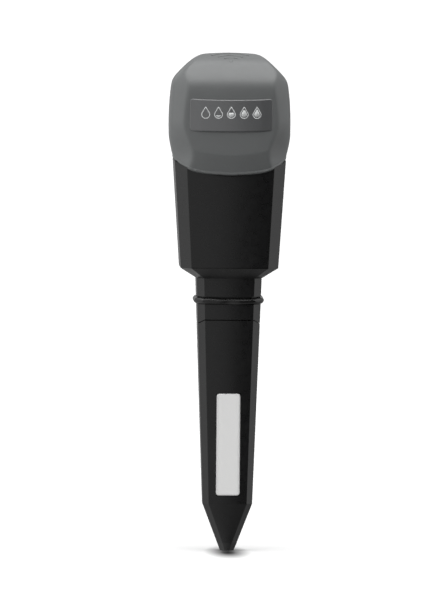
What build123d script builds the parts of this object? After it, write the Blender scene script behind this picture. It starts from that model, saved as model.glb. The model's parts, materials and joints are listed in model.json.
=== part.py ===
"""Soil moisture sensor: a battery head with a lift-off cap, on a stake that is pushed into the ground.

Millimetres. +Z is up, -Y is the front and +X is the viewer's right. The origin is on the stake's axis
at the soil line, which the rubber depth ring marks.
"""
from build123d import *
import math
import os

os.makedirs("parts", exist_ok=True)

# ---- Driving dimensions ------------------------------------------------------------------------

# An outline is (half width, half depth, corner): a rectangle whose corners are cut off at 45 degrees.
tip_z = -124.5                       # blunt end of the stake
blunt_z = -120.5                     # where the point turns into its blunt end
shoulder_z = -100.75                 # where the blade turns into the point
seam_z = -8.1                        # joint between the neck and the stake, on the front face
seam_side_z = -10.0                  # the same joint on the side faces
groove_low_z = -0.5                  # groove of the depth ring
groove_high_z = 3.4
skirt_low_z = 12.5                   # skirt between the neck and the body
skirt_high_z = 17.75
shoulder_high_z = 76.0               # the body's outside walls end below this height
spigot_low_z = 56.0
deck_low_z = 96.5                    # underside of the deck that closes the housing
deck_top_z = 99.0
cap_top_z = 125.25

tip_outline = (3.4, 2.3, 2.2)
blunt_outline = (4.93, 4.5, 2.6)
shoulder_outline = (12.42, 7.9, 2.95)
seam_outline = (15.6, 12.0, 3.6)
neck_outline = (16.3, 12.7, 3.7)
body_low_outline = (24.4, 17.8, 5.25)
body_high_outline = (28.1, 20.6, 5.95)
spigot_outline = (25.2, 18.2, 4.4)
tunnel_outline = (11.8, 8.3, 2.4)
face_crown = 0.5                     # rise of the front and rear faces at their middle

wall = 2.2
fit_gap = 0.3                        # between the cap and the housing
edge_clearance = 0.35                # between the cap's lower edge and the body's walls
seam_gap = 0.5                       # visible joint line between the neck and the stake
shell_gap = 0.1                      # joint line between the two halves of the stake

edge_radius = 55.0                   # the cap's lower edge is an arc, lowest at the front and rear
edge_centre_z = 119.3
cap_front_y = -23.0
cap_back_y = 22.6
cap_half_width = 30.07
cap_wall = 2.4

ring_z = 1.3
ring_section = 3.4
ring_outline = (15.7, 12.1, 3.6)

battery_diameter = 14.5              # two AA cells
battery_length = 50.5
battery_top_z = 100.0
battery_x = 7.9
battery_y = -7.7
well_radius = 7.5

board_front_y = 5.2
board_thickness = 1.6
board_half_width = 19.5
board_low_z = 24.0
board_high_z = 93.0

button_x = -6.0
led_x = 6.0
top_parts_y = 8.6                    # button, switch, light pipe and LED stand in one row behind the cells
button_travel = 0.6

field_width = 12.0                   # measuring field on the front of the stake
field_high_z = -45.15
field_low_z = -96.65
flange_thickness = 1.0
lead_radius = 0.6

screw_shank_radius = 1.0             # all the head's screws are alike: pan head with a cross
screw_hole_radius = 1.05
screw_clearance = 1.45
screw_head_radius = 2.3
screw_head_height = 1.5
cross_length = 2.6
cross_width = 0.6
cross_depth = 0.8


# ---- Shared shapes -----------------------------------------------------------------------------

def blend_outline(low, high, share):
    """The outline part of the way from low to high."""
    return tuple(a + (b - a) * share for a, b in zip(low, high))


def inset(outline, distance):
    """The same outline, moved inwards by distance on all eight sides."""
    half_width, half_depth, corner = outline
    return (half_width - distance, half_depth - distance, corner - distance * (2 - math.sqrt(2)))


def octagon(z, outline, crown=0.0):
    """A flat face at height z: an outline whose front and rear edges rise by crown at their middle."""
    half_width, half_depth, corner = outline
    x_flat = half_width - corner
    y_flat = half_depth - corner
    with BuildSketch(Plane.XY.offset(z)) as section:
        with BuildLine():
            Line((half_width, -y_flat), (half_width, y_flat))
            Line((half_width, y_flat), (x_flat, half_depth))
            if crown:
                ThreePointArc((x_flat, half_depth), (0, half_depth + crown), (-x_flat, half_depth))
            else:
                Line((x_flat, half_depth), (-x_flat, half_depth))
            Line((-x_flat, half_depth), (-half_width, y_flat))
            Line((-half_width, y_flat), (-half_width, -y_flat))
            Line((-half_width, -y_flat), (-x_flat, -half_depth))
            if crown:
                ThreePointArc((-x_flat, -half_depth), (0, -half_depth - crown), (x_flat, -half_depth))
            else:
                Line((-x_flat, -half_depth), (x_flat, -half_depth))
            Line((x_flat, -half_depth), (half_width, -y_flat))
        make_face()
    return section.sketch


def climbing_edges(builder, least_rise):
    """The edges of a builder's part that climb by more than least_rise."""
    return builder.edges().filter_by(lambda edge: abs((edge @ 1 - edge @ 0).Z) > least_rise)


def save(builder, label):
    """Name a finished piece and write it."""
    builder.part.label = label
    export_step(builder.part, f"parts/{label}.step")


def blade_outline(z):
    """The stake's outline at a height between its shoulder and its seam."""
    return blend_outline(shoulder_outline, seam_outline, (z - shoulder_z) / (seam_z - shoulder_z))


# ---- Housing: body, skirt and neck in one moulding ---------------------------------------------

neck_low_z = -14.0
body_floor_z = 20.0
seam_reach = 40.0
seam_flat = 12.3                     # the seam is level up to here and drops beyond it, on the corner faces
seam_drop = (seam_z - seam_side_z) * (seam_reach - seam_flat) / (seam_outline[0] - seam_flat)
neck_share = (skirt_low_z - neck_low_z) / (skirt_low_z - seam_z)
neck_end_outline = blend_outline(neck_outline, seam_outline, neck_share)


def beyond_seam(z, far_z):
    """Everything from the seam line at height z as far as far_z, seen from the front."""
    with BuildSketch(Plane.XZ) as region:
        with BuildLine():
            Polyline((-seam_reach, z - seam_drop), (-seam_flat, z), (seam_flat, z), (seam_reach, z - seam_drop),
                     (seam_reach, far_z), (-seam_reach, far_z), close=True)
        make_face()
    return region.sketch


with BuildPart() as body_walls:
    loft([octagon(skirt_high_z, body_low_outline, face_crown),
          octagon(shoulder_high_z, body_high_outline, face_crown)], ruled=True)
    fillet(climbing_edges(body_walls, 20), 0.7)
    with BuildSketch(Plane.XZ) as cap_clearance:
        with Locations((0, edge_centre_z)):
            Circle(edge_radius + edge_clearance)
    extrude(amount=seam_reach, both=True, mode=Mode.SUBTRACT)

with BuildPart() as neck_walls:
    loft([octagon(neck_low_z, neck_end_outline, face_crown), octagon(skirt_low_z, neck_outline, face_crown)],
         ruled=True)
    fillet(climbing_edges(neck_walls, 20), 0.5)
    extrude(beyond_seam(seam_z, -80), amount=seam_reach, both=True, mode=Mode.SUBTRACT)
    with BuildSketch(Plane.XY.offset(groove_low_z)) as groove:
        Rectangle(60, 60)
        add(octagon(0, inset(ring_outline, ring_section / 2 + 0.1)), mode=Mode.SUBTRACT)
    extrude(amount=groove_high_z - groove_low_z, mode=Mode.SUBTRACT)

boss_positions = [(x, z) for x in (-15.5, 15.5) for z in (30.0, 84.0)]
board_post_radius = 2.6
board_post_length = 9.5
board_hole_depth = 6.0
deck_screw_spacing = (39.6, 24.8)
deck_post_radius = 2.9
deck_post_low_z = 85.5
deck_hole_depth = 8.0
seal_groove_low_z = 83.0
seal_groove_height = 1.6
seal_groove_depth = 1.3
skirt_groove_height = 0.45           # shadow line across the front and rear, just above the skirt
skirt_groove_depth = 0.6

with BuildPart() as housing:
    add(body_walls.part)
    add(neck_walls.part)
    loft([octagon(skirt_low_z, neck_outline, face_crown), octagon(skirt_high_z, body_low_outline, face_crown)],
         ruled=True)
    add(octagon(spigot_low_z, spigot_outline))
    extrude(amount=deck_top_z - spigot_low_z)
    loft([octagon(body_floor_z, inset(body_low_outline, wall)),
          octagon(spigot_low_z, inset(spigot_outline, wall))], ruled=True, mode=Mode.SUBTRACT)
    add(octagon(spigot_low_z, inset(spigot_outline, wall)))
    extrude(amount=deck_top_z - spigot_low_z, mode=Mode.SUBTRACT)
    add(octagon(-30, tunnel_outline))
    extrude(amount=30 + body_floor_z, mode=Mode.SUBTRACT)
    # Posts on the rear wall carry the main board; each has a blind hole for its screw.
    with BuildSketch(Plane.XZ.offset(-(board_front_y + board_thickness))) as posts:
        with Locations(*boss_positions):
            Circle(board_post_radius)
    extrude(amount=-board_post_length)
    with BuildSketch(Plane.XZ.offset(-(board_front_y + board_thickness))) as post_holes:
        with Locations(*boss_positions):
            Circle(screw_hole_radius)
    extrude(amount=-board_hole_depth, mode=Mode.SUBTRACT)
    # Posts in the four corners carry the deck.
    with BuildSketch(Plane.XY.offset(deck_post_low_z)) as deck_posts:
        with GridLocations(*deck_screw_spacing, 2, 2):
            Circle(deck_post_radius)
    extrude(amount=deck_low_z - deck_post_low_z)
    with BuildSketch(Plane.XY.offset(deck_low_z)) as deck_post_holes:
        with GridLocations(*deck_screw_spacing, 2, 2):
            Circle(screw_hole_radius)
    extrude(amount=-deck_hole_depth, mode=Mode.SUBTRACT)
    # Groove of the cap's seal.
    with BuildSketch(Plane.XY.offset(seal_groove_low_z)) as seal_groove:
        add(octagon(0, inset(spigot_outline, -5)))
        add(octagon(0, inset(spigot_outline, seal_groove_depth)), mode=Mode.SUBTRACT)
    extrude(amount=seal_groove_height, mode=Mode.SUBTRACT)
    # Shadow line above the skirt.
    with BuildSketch(Plane.XY.offset(skirt_high_z)) as skirt_groove:
        Rectangle(2 * (body_low_outline[0] - body_low_outline[2]), 60)
        add(octagon(0, inset(body_low_outline, skirt_groove_depth), face_crown), mode=Mode.SUBTRACT)
    extrude(amount=skirt_groove_height, mode=Mode.SUBTRACT)
save(housing, "housing")


# ---- Seals and rings ---------------------------------------------------------------------------

def ring_path(z, outline, radius):
    """The closed centre line of a rubber ring that lies around an octagonal outline."""
    half_width, half_depth, corner = outline
    x_flat = half_width - corner
    y_flat = half_depth - corner
    points = [(half_width, -y_flat, z), (half_width, y_flat, z), (x_flat, half_depth, z),
              (-x_flat, half_depth, z), (-half_width, y_flat, z), (-half_width, -y_flat, z),
              (-x_flat, -half_depth, z), (x_flat, -half_depth, z)]
    with BuildLine() as path:
        FilletPolyline(*points, radius=radius, close=True)
    return path.line


with BuildPart() as depth_ring:
    with BuildLine():
        add(ring_path(ring_z, ring_outline, 2.2))
    with BuildSketch(Plane.XZ.offset(0)) as ring_profile:
        with Locations((ring_outline[0], ring_z)):
            Circle(ring_section / 2)
    sweep()
save(depth_ring, "depth_ring")

seal_outline = inset(spigot_outline, 0.5)
seal_z = seal_groove_low_z + seal_groove_height / 2

with BuildPart() as cap_seal:
    with BuildLine():
        add(ring_path(seal_z, seal_outline, 1.6))
    with BuildSketch(Plane.XZ) as seal_profile:
        with Locations((seal_outline[0], seal_z)):
            Circle(0.7)
    sweep()
save(cap_seal, "cap_seal")


# ---- Stake: two welded shells around the measuring parts ---------------------------------------

tongue_outline = inset(tunnel_outline, 0.15)
tongue_bore = inset(tongue_outline, 1.8)
cavity_top_z = -13.0
cavity_floor_z = -100.0

with BuildPart() as point:
    loft([octagon(blunt_z, blunt_outline, 0.2), octagon(shoulder_z, shoulder_outline, face_crown)], ruled=True)
    fillet(climbing_edges(point, 15), 0.4)

with BuildPart() as stake_blank:
    loft([octagon(shoulder_z, shoulder_outline, face_crown), octagon(-4, blade_outline(-4), face_crown)],
         ruled=True)
    fillet(climbing_edges(stake_blank, 20), 0.5)
    extrude(beyond_seam(seam_z - seam_gap, 20), amount=seam_reach, both=True, mode=Mode.SUBTRACT)
    add(point.part)
    loft([octagon(tip_z, tip_outline, 0.1), octagon(blunt_z, blunt_outline, 0.2)], ruled=True)
    add(octagon(cavity_top_z, tongue_outline))
    extrude(amount=5.0 - cavity_top_z)
    loft([octagon(cavity_floor_z, inset(blade_outline(cavity_floor_z), 2.0)),
          octagon(cavity_top_z, inset(blade_outline(cavity_top_z), 2.0))], ruled=True, mode=Mode.SUBTRACT)
    add(octagon(cavity_top_z - 1, tongue_bore))
    extrude(amount=25, mode=Mode.SUBTRACT)
    # Groove of the neck gasket, round the tongue.
    with BuildSketch(Plane.XY.offset(-1.4)) as gasket_groove:
        Rectangle(40, 40)
        add(octagon(0, inset(tongue_outline, 0.9)), mode=Mode.SUBTRACT)
    extrude(amount=1.8, mode=Mode.SUBTRACT)

gasket_radius = 0.5
gasket_outline = inset(tongue_outline, gasket_radius - 0.15)

with BuildPart() as neck_gasket:
    with BuildLine():
        add(ring_path(-0.5, gasket_outline, 1.2))
    with BuildSketch(Plane.XZ) as gasket_profile:
        with Locations((gasket_outline[0], -0.5)):
            Circle(gasket_radius)
    sweep()
save(neck_gasket, "neck_gasket")

# The measuring parts lie parallel to the front face, which leans back towards the point.
field_z = (field_high_z + field_low_z) / 2
field_height = field_high_z - field_low_z
lean = math.atan2(seam_outline[1] - shoulder_outline[1], seam_z - shoulder_z)
face_y = -blade_outline(field_z)[1] - face_crown
face_plane = Plane(origin=(0, face_y, field_z), x_dir=(1, 0, 0), z_dir=(0, -math.cos(lean), -math.sin(lean)))
wall_depth = 2.0 + face_crown
gasket_thickness = 0.5
plate_back = wall_depth + gasket_thickness + flange_thickness
film_thickness = 0.3
copper_thickness = 0.15
board_front = plate_back + film_thickness + copper_thickness
sensor_board_thickness = 1.2
sensor_board_low = -27.6
sensor_board_high = 44.0
boss_points = [(-5.5, 33.0), (5.5, 33.0)]

with BuildPart() as stake_front_shell:
    add(stake_blank.part)
    split(bisect_by=Plane.XZ.offset(shell_gap / 2), keep=Keep.TOP)
    with BuildSketch(face_plane.offset(2.0)) as field_opening:
        RectangleRounded(field_width + 0.5, field_height + 0.5, 1.85)
    extrude(amount=-7.0, mode=Mode.SUBTRACT)
    with BuildSketch(face_plane.offset(-board_front)) as board_bosses:
        with Locations(*boss_points):
            Circle(2.0)
    extrude(amount=board_front - wall_depth + 0.5)
    with BuildSketch(face_plane.offset(-board_front)) as boss_holes:
        with Locations(*boss_points):
            Circle(0.8)
    extrude(amount=2.2, mode=Mode.SUBTRACT)
save(stake_front_shell, "stake_front_shell")

with BuildPart() as stake_rear_shell:
    add(stake_blank.part)
    split(bisect_by=Plane.XZ.offset(-shell_gap / 2), keep=Keep.BOTTOM)
save(stake_rear_shell, "stake_rear_shell")

with BuildPart() as measuring_plate:
    with BuildSketch(face_plane.offset(-0.1)) as plate_face:
        RectangleRounded(field_width, field_height, 1.6)
    extrude(amount=-(plate_back - 0.1))
    fillet(measuring_plate.faces().sort_by(Axis.Y)[0].edges(), 0.6)
    with BuildSketch(face_plane.offset(-(wall_depth + gasket_thickness))) as plate_flange:
        RectangleRounded(field_width + 3.0, field_height + 2.6, 2.0)
    extrude(amount=-flange_thickness)
save(measuring_plate, "measuring_plate")

with BuildPart() as plate_gasket:
    with BuildSketch(face_plane.offset(-wall_depth)) as gasket_frame:
        RectangleRounded(field_width + 2.8, field_height + 2.4, 1.9)
        RectangleRounded(field_width + 0.8, field_height + 0.8, 2.0, mode=Mode.SUBTRACT)
    extrude(amount=-gasket_thickness)
save(plate_gasket, "plate_gasket")

with BuildPart() as coupling_film:
    with BuildSketch(face_plane.offset(-plate_back)) as film_face:
        RectangleRounded(field_width + 1.0, field_height, 1.0)
    extrude(amount=-film_thickness)
save(coupling_film, "coupling_film")

finger_width = 1.3
finger_pitch = 2.0
finger_pairs = 12
comb_half_width = 6.3
spine_width = 1.0

with BuildPart() as sensor_electrodes:
    with BuildSketch(face_plane.offset(-(plate_back + film_thickness))) as combs:
        for side in (-1, 1):
            with Locations((side * (comb_half_width - spine_width / 2), 0)):
                Rectangle(spine_width, finger_pitch * (2 * finger_pairs - 1) + finger_width)
            first_finger = -finger_pitch * (finger_pairs - 0.5) + (finger_pitch if side > 0 else 0)
            for finger in range(finger_pairs):
                with Locations((side * 0.5, first_finger + 2 * finger * finger_pitch)):
                    Rectangle(2 * comb_half_width - 2 * spine_width, finger_width)
    extrude(amount=-copper_thickness)
save(sensor_electrodes, "sensor_electrodes")

lead_positions = [(x, 42.0) for x in (-2.54, 0.0, 2.54)]

with BuildPart() as sensor_board:
    with BuildSketch(face_plane.offset(-board_front)) as board_shape:
        with Locations((0, (sensor_board_high + sensor_board_low) / 2)):
            RectangleRounded(15.5, sensor_board_high - sensor_board_low, 1.0)
        with Locations(*boss_points):
            Circle(1.1, mode=Mode.SUBTRACT)
        with Locations(*lead_positions):
            Circle(lead_radius + 0.1, mode=Mode.SUBTRACT)
    extrude(amount=-sensor_board_thickness)
save(sensor_board, "sensor_board")

with BuildPart() as sensor_board_parts:
    # An oscillator, a small amplifier and four chip capacitors, soldered to the board's rear.
    for position, width, height, depth in [((0, 20), 5.0, 5.0, 1.1), ((0, 12), 3.0, 3.0, 0.9),
                                           ((-5, 22), 1.6, 0.9, 0.7), ((-5, 19), 1.6, 0.9, 0.7),
                                           ((5, 22), 1.6, 0.9, 0.7), ((5, 12), 2.0, 1.3, 0.8)]:
        with BuildSketch(face_plane.offset(-(board_front + sensor_board_thickness))) as chip:
            with Locations(position):
                Rectangle(width, height)
        extrude(amount=-depth)
save(sensor_board_parts, "sensor_board_parts")

with BuildPart() as sensor_board_screws:
    with BuildSketch(face_plane.offset(-(board_front + sensor_board_thickness))) as small_heads:
        with Locations(*boss_points):
            Circle(1.9)
            RegularPolygon(0.6, 6, mode=Mode.SUBTRACT)
    extrude(amount=-1.2)
    with BuildSketch(face_plane.offset(-(board_front + sensor_board_thickness))) as small_shanks:
        with Locations(*boss_points):
            Circle(0.75)
    extrude(amount=sensor_board_thickness + 2.0)
    with BuildSketch(face_plane.offset(-(board_front + sensor_board_thickness + 0.5))) as small_webs:
        with Locations(*boss_points):
            Circle(0.75)
    extrude(amount=0.5)
save(sensor_board_screws, "sensor_board_screws")


# ---- Main board and what is soldered to it -----------------------------------------------------

board_back_y = board_front_y + board_thickness

with BuildPart() as main_board:
    with BuildSketch(Plane.XZ.offset(-board_front_y)) as main_outline:
        with Locations((0, (board_low_z + board_high_z) / 2)):
            RectangleRounded(2 * board_half_width, board_high_z - board_low_z, 1.5)
        with Locations(*boss_positions):
            Circle(screw_clearance, mode=Mode.SUBTRACT)
    extrude(amount=-board_thickness)
save(main_board, "main_board")

with BuildPart() as board_screws:
    for x, z in boss_positions:
        with BuildSketch(Plane.XZ.offset(-board_front_y)) as head:
            with Locations((x, z)):
                Circle(screw_head_radius)
        extrude(amount=screw_head_height)
        with BuildSketch(Plane.XZ.offset(-board_front_y)) as shank:
            with Locations((x, z)):
                Circle(screw_shank_radius)
        extrude(amount=-(board_thickness + 5.0))
        with BuildSketch(Plane.XZ.offset(-board_front_y + screw_head_height)) as cross_slot:
            with Locations((x, z)):
                Rectangle(cross_length, cross_width)
                Rectangle(cross_width, cross_length)
        extrude(amount=-cross_depth, mode=Mode.SUBTRACT)
save(board_screws, "board_screws")

with BuildPart() as radio_module:
    # A daughter board with a drawn shield can on it.
    with BuildSketch(Plane.XZ.offset(-board_back_y)) as radio_base:
        with Locations((-3.5, 74.0)):
            Rectangle(18.0, 24.0)
    extrude(amount=-0.8)
    with BuildSketch(Plane.XZ.offset(-(board_back_y + 0.8))) as radio_can:
        with Locations((-3.5, 72.0)):
            RectangleRounded(16.0, 18.0, 0.8)
    extrude(amount=-2.2)
    fillet(radio_module.faces().sort_by(Axis.Y)[-1].edges(), 0.5)
save(radio_module, "radio_module")

chip_centre = (11.5, 64.0)

with BuildPart() as controller_chip:
    with BuildSketch(Plane.XZ.offset(-(board_back_y + 0.1))) as chip_body:
        with Locations(chip_centre):
            Rectangle(8.0, 8.0)
    extrude(amount=-1.2)
    chamfer(controller_chip.faces().sort_by(Axis.Y)[-1].edges(), 0.25)
    # Gull-wing pins along all four sides, their feet on the board.
    with BuildSketch(Plane.XZ.offset(-board_back_y)) as pins:
        for step in range(8):
            along = (step - 3.5) * 0.8
            with Locations((chip_centre[0] + along, chip_centre[1])):
                Rectangle(0.35, 10.0)
            with Locations((chip_centre[0], chip_centre[1] + along)):
                Rectangle(10.0, 0.35)
    extrude(amount=-0.35)
save(controller_chip, "controller_chip")

with BuildPart() as crystal:
    with BuildSketch(Plane.XZ.offset(-board_back_y)) as crystal_can:
        with Locations((9.5, 55.5)):
            SlotOverall(9.0, 4.0)
    extrude(amount=-3.2)
    fillet(crystal.faces().sort_by(Axis.Y)[-1].edges(), 0.4)
save(crystal, "crystal")

capacitor_centre = (-10.0, 52.0)

with BuildPart() as storage_capacitor:
    with BuildSketch(Plane.XZ.offset(-board_back_y)) as capacitor_foot:
        with Locations(capacitor_centre):
            Rectangle(6.6, 6.6)
    extrude(amount=-0.8)
    with BuildSketch(Plane.XZ.offset(-(board_back_y + 0.8))) as capacitor_can:
        with Locations(capacitor_centre):
            Circle(3.1)
    extrude(amount=-5.0)
    fillet(storage_capacitor.faces().sort_by(Axis.Y)[-1].edges(), 0.4)
save(storage_capacitor, "storage_capacitor")

with BuildPart() as chip_capacitors:
    for x, z in [(-2.0, 53.0), (1.0, 53.0), (-2.0, 49.5), (1.0, 49.5), (16.5, 72.5), (16.5, 75.5),
                 (2.0, 59.5), (-14.5, 66.0), (-14.5, 70.0), (-3.5, 41.0), (0.0, 41.0), (3.5, 41.0)]:
        with BuildSketch(Plane.XZ.offset(-board_back_y)) as chip_foot:
            with Locations((x, z)):
                Rectangle(2.0, 1.25)
        extrude(amount=-0.8)
save(chip_capacitors, "chip_capacitors")

antenna_turns = 6
antenna_pitch = 2.0
antenna_radius = 2.4
antenna_wire = 0.35
antenna_low_z = 73.5
antenna_x = 8.8
antenna_y = board_back_y + 3.4

with BuildPart() as antenna:
    with BuildLine(Plane(origin=(antenna_x, antenna_y, antenna_low_z))) as antenna_helix:
        Helix(antenna_pitch, antenna_turns * antenna_pitch, antenna_radius)
    with BuildSketch(Plane(origin=antenna_helix.line @ 0, z_dir=antenna_helix.line % 0)) as antenna_section:
        Circle(antenna_wire)
    sweep()
save(antenna, "antenna")

switch_low_z = 90.0
switch_top_z = 93.8
plunger_radius = 1.0
plunger_entry = 1.0                  # how deep the plunger sits in the switch at rest

with BuildPart() as tact_switch:
    with BuildSketch(Plane.XY.offset(switch_low_z)) as switch_body:
        with Locations((button_x, top_parts_y)):
            Rectangle(6.0, 3.6)
    extrude(amount=switch_top_z - switch_low_z)
    with BuildSketch(Plane.XY.offset(switch_top_z)) as switch_bore:
        with Locations((button_x, top_parts_y)):
            Circle(plunger_radius + 0.2)
    extrude(amount=-(plunger_entry + button_travel + 0.4), mode=Mode.SUBTRACT)
save(tact_switch, "tact_switch")

button_low_z = 95.2
flange_top_z = 96.2
button_top_z = 100.0

with BuildPart() as switch_plunger:
    with BuildSketch(Plane.XY.offset(switch_top_z - plunger_entry)) as plunger_foot:
        with Locations((button_x, top_parts_y)):
            Circle(plunger_radius)
    extrude(amount=button_low_z - switch_top_z + plunger_entry)
save(switch_plunger, "switch_plunger")

with BuildPart() as link_button:
    with BuildSketch(Plane.XY.offset(button_low_z)) as button_flange:
        with Locations((button_x, top_parts_y)):
            Circle(4.2)
    extrude(amount=flange_top_z - button_low_z)
    with BuildSketch(Plane.XY.offset(flange_top_z)) as button_post:
        with Locations((button_x, top_parts_y)):
            Circle(3.2)
    extrude(amount=button_top_z - flange_top_z)
    fillet(link_button.faces().sort_by(Axis.Z)[-1].edges(), 0.6)
save(link_button, "link_button")

with BuildPart() as status_led:
    with BuildSketch(Plane.XY.offset(89.0)) as led_foot:
        with Locations((led_x, top_parts_y)):
            Rectangle(3.4, 3.0)
    extrude(amount=2.0)
    with BuildSketch(Plane.XY.offset(91.0)) as led_dome:
        with Locations((led_x, top_parts_y)):
            Circle(1.4)
    extrude(amount=1.8)
    fillet(status_led.faces().sort_by(Axis.Z)[-1].edges(), 1.0)
save(status_led, "status_led")

with BuildPart() as light_pipe:
    with BuildSketch(Plane.XY.offset(93.4)) as pipe_foot:
        with Locations((led_x, top_parts_y)):
            Circle(2.4)
    extrude(amount=deck_low_z - 93.4)
    with BuildSketch(Plane.XY.offset(deck_low_z)) as pipe_head:
        with Locations((led_x, top_parts_y)):
            Circle(1.5)
    extrude(amount=deck_top_z + 0.3 - deck_low_z)
    fillet(light_pipe.faces().sort_by(Axis.Z)[-1].edges(), 0.25)
save(light_pipe, "light_pipe")


# ---- Battery tray, cells and contacts ----------------------------------------------------------

tray_low_z = 42.0
tray_floor = 2.0
tray_half_width = 16.7
tray_front_y = -15.8
tray_back_y = 1.0
cell_positions = [(-battery_x, battery_y), (battery_x, battery_y)]
spring_side, plate_side = cell_positions
battery_low_z = battery_top_z - battery_length
nub_radius = 2.7
nub_height = 1.3
contact_z = tray_low_z + tray_floor

with BuildPart() as battery_tray:
    with BuildSketch(Plane.XY.offset(tray_low_z)) as tray_outline:
        with Locations((0, (tray_front_y + tray_back_y) / 2)):
            RectangleRounded(2 * tray_half_width, tray_back_y - tray_front_y, 3.0)
    extrude(amount=deck_low_z - tray_low_z)
    with BuildSketch(Plane.XY.offset(contact_z)) as wells:
        with Locations(*cell_positions):
            Circle(well_radius)
    extrude(amount=deck_low_z - contact_z, mode=Mode.SUBTRACT)
    with BuildSketch(Plane.XY.offset(tray_low_z)) as tab_slots:
        with Locations(*cell_positions):
            Rectangle(4.4, 1.0)
    extrude(amount=tray_floor, mode=Mode.SUBTRACT)
save(battery_tray, "battery_tray")

with BuildPart() as battery_a:
    with BuildSketch(Plane.XY.offset(battery_low_z)) as can_a:
        with Locations(spring_side):
            Circle(battery_diameter / 2)
    extrude(amount=battery_length - nub_height)
    fillet(battery_a.edges().filter_by(GeomType.CIRCLE), 0.8)
    with BuildSketch(Plane.XY.offset(battery_top_z - nub_height)) as nub_a:
        with Locations(spring_side):
            Circle(nub_radius)
    extrude(amount=nub_height)
save(battery_a, "battery_a")

with BuildPart() as battery_b:
    with BuildSketch(Plane.XY.offset(battery_low_z + nub_height)) as can_b:
        with Locations(plate_side):
            Circle(battery_diameter / 2)
    extrude(amount=battery_length - nub_height)
    fillet(battery_b.edges().filter_by(GeomType.CIRCLE), 0.8)
    with BuildSketch(Plane.XY.offset(battery_low_z)) as nub_b:
        with Locations(plate_side):
            Circle(nub_radius)
    extrude(amount=nub_height)
save(battery_b, "battery_b")

spring_wire = 0.45
contact_thickness = 0.4
spring_low_z = contact_z + contact_thickness
spring_turns = 4
spring_height = battery_low_z - spring_low_z - 2 * spring_wire
tab_length = 6.0

with BuildPart() as contact_spring:
    # Negative contact: a stamped foot with a tab through the tray's floor, and a coil spring on it.
    with BuildSketch(Plane.XY.offset(contact_z)) as spring_foot:
        with Locations(spring_side):
            Rectangle(9.0, 9.0)
    extrude(amount=contact_thickness)
    with BuildSketch(Plane.XY.offset(contact_z)) as spring_tab:
        with Locations(spring_side):
            Rectangle(4.0, 0.5)
    extrude(amount=-tab_length)
    with BuildLine(Plane(origin=(*spring_side, spring_low_z + spring_wire * 0.6))) as spring_helix:
        Helix(spring_height / spring_turns, spring_height, 3.6)
    with BuildSketch(Plane(origin=spring_helix.line @ 0, z_dir=spring_helix.line % 0)) as spring_section:
        Circle(spring_wire)
    sweep()
save(contact_spring, "contact_spring")

with BuildPart() as contact_plate:
    # Positive contact: a stamped bracket that stands the cell's nub off the tray's floor.
    with BuildSketch(Plane.XY.offset(contact_z)) as plate_foot:
        with Locations(plate_side):
            Rectangle(9.0, 9.0)
    extrude(amount=contact_thickness)
    with BuildSketch(Plane.XY.offset(contact_z + contact_thickness)) as plate_step:
        with Locations(plate_side):
            Rectangle(6.0, 6.0)
            Rectangle(5.0, 5.0, mode=Mode.SUBTRACT)
    extrude(amount=battery_low_z - contact_z - 2 * contact_thickness)
    with BuildSketch(Plane.XY.offset(battery_low_z - contact_thickness)) as plate_crest:
        with Locations(plate_side):
            Rectangle(6.0, 6.0)
    extrude(amount=contact_thickness)
    with BuildSketch(Plane.XY.offset(contact_z)) as plate_tab:
        with Locations(plate_side):
            Rectangle(4.0, 0.5)
    extrude(amount=-tab_length)
save(contact_plate, "contact_plate")

# Each contact's tab is joined to the main board by an insulated wire under the tray.
battery_wire_radius = 0.7
wire_end_z = contact_z - tab_length
wire_tab_y = battery_y + 0.25 + battery_wire_radius

with BuildPart() as battery_wires:
    for side in (-1, 1):
        with BuildLine() as wire_path:
            FilletPolyline((side * battery_x, wire_tab_y, wire_end_z + 2.0),
                           (side * battery_x, wire_tab_y, wire_end_z - 3.5),
                           (side * battery_x, board_front_y, wire_end_z - 3.5), radius=2.4)
        with BuildSketch(Plane(origin=wire_path.line @ 0, z_dir=wire_path.line % 0)) as wire_section:
            Circle(battery_wire_radius)
        sweep()
save(battery_wires, "battery_wires")


# ---- Deck over the tray and the electronics ----------------------------------------------------

deck_outline = inset(spigot_outline, wall + 0.1)

with BuildPart() as deck:
    add(octagon(deck_low_z, deck_outline))
    extrude(amount=deck_top_z - deck_low_z)
    with BuildSketch(Plane.XY.offset(deck_low_z)) as deck_holes:
        with Locations(*cell_positions):
            Circle(well_radius)
        with Locations((button_x, top_parts_y)):
            Circle(3.4)
        with Locations((led_x, top_parts_y)):
            Circle(1.6)
        with GridLocations(*deck_screw_spacing, 2, 2):
            Circle(screw_clearance)
    extrude(amount=deck_top_z - deck_low_z, mode=Mode.SUBTRACT)
save(deck, "deck")

with BuildPart() as deck_screws:
    with BuildSketch(Plane.XY.offset(deck_top_z)) as deck_heads:
        with GridLocations(*deck_screw_spacing, 2, 2):
            Circle(screw_head_radius)
    extrude(amount=screw_head_height)
    with BuildSketch(Plane.XY.offset(deck_top_z + screw_head_height)) as deck_slots:
        with GridLocations(*deck_screw_spacing, 2, 2):
            Rectangle(cross_length, cross_width)
            Rectangle(cross_width, cross_length)
    extrude(amount=-cross_depth, mode=Mode.SUBTRACT)
    with BuildSketch(Plane.XY.offset(deck_top_z)) as deck_shanks:
        with GridLocations(*deck_screw_spacing, 2, 2):
            Circle(screw_shank_radius)
    extrude(amount=-8.0)
save(deck_screws, "deck_screws")


# ---- Plug connection between the two boards ----------------------------------------------------

header_low_z = 27.0
header_high_z = 33.0
header_front_y = 0.2
plug_low_z = 24.6
plug_high_z = 31.6
lead_spacing = 2.54
lead_y = 2.8
pin_low_z = 28.4

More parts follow.
